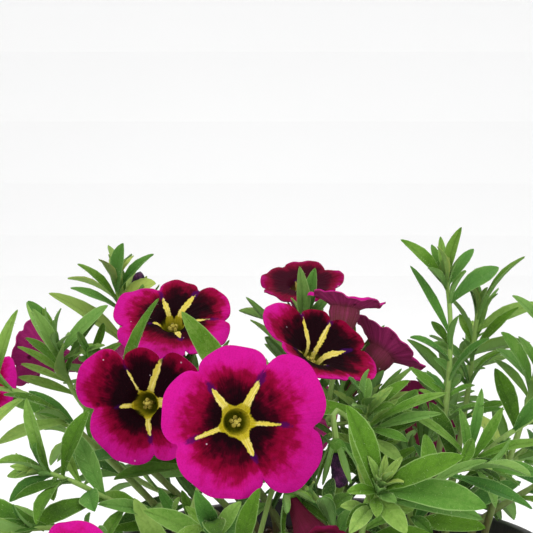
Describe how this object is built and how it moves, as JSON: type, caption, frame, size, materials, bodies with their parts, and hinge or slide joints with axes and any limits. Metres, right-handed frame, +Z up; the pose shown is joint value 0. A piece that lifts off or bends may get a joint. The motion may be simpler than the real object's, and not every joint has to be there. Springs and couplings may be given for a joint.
{
  "type": "potted calibrachoa plant",
  "caption": "Bushy calibrachoa in bloom with star-marked magenta trumpet flowers and narrow leaves, standing in a plain round black nursery pot.",
  "frame": {"origin": "middle of the pot's flat underside, on the surface that the pot stands on", "axes": "+Z up along the pot's axis, -Y towards the front of the plant, +X to the right as seen from the front"},
  "size_m": [0.1813, 0.1489, 0.166],
  "materials": {
    "pot_plastic": "satin black moulded plastic",
    "soil": "dark crumbly potting soil",
    "foliage": "finely hairy green leaves and stems",
    "petals": "velvety magenta petals with a near-black middle and pale yellow star",
    "withered_petals": "crumpled dark purple",
    "anthers": "pale yellow, powdery"
  },
  "bodies": {
    "root": {"anthers_front": "anthers", "anthers_left": "anthers", "anthers_upper_left": "anthers", "anthers_upper_right": "anthers", "bloom_behind_left": "petals", "bloom_behind_middle": "petals", "bloom_behind_right": "petals", "bloom_far_left": "petals", "bloom_front": "petals", "bloom_left": "petals", "bloom_low_behind": "petals", "bloom_low_centre": "petals", "bloom_low_left": "petals", "bloom_old_left": "petals", "bloom_right_back": "petals", "bloom_right_side": "petals", "bloom_top_back": "petals", "bloom_trumpet": "petals", "bloom_upper_left": "petals", "bloom_upper_right": "petals", "bud_top_left": "petals", "bud_withered_front": "withered_petals", "pot": "pot_plastic", "soil": "soil", "stem_back_far_right": "foliage", "stem_back_left": "foliage", "stem_back_low_left": "foliage", "stem_back_low_right": "foliage", "stem_back_middle": "foliage", "stem_back_right": "foliage", "stem_bottom": "foliage", "stem_bottom_left": "foliage", "stem_centre_back": "foliage", "stem_centre_low": "foliage", "stem_centre_right": "foliage", "stem_far_left": "foliage", "stem_far_right": "foliage", "stem_left": "foliage", "stem_low_left": "foliage", "stem_lower_right": "foliage", "stem_mid_left": "foliage", "stem_right_back": "foliage", "stem_right_low": "foliage", "stem_right_second": "foliage", "stem_right_tall": "foliage", "stem_rosette": "foliage", "stem_top_left": "foliage", "stem_top_right": "foliage", "stem_upper_left": "foliage", "stem_upper_mid": "foliage"}
  },
  "joints": []
}
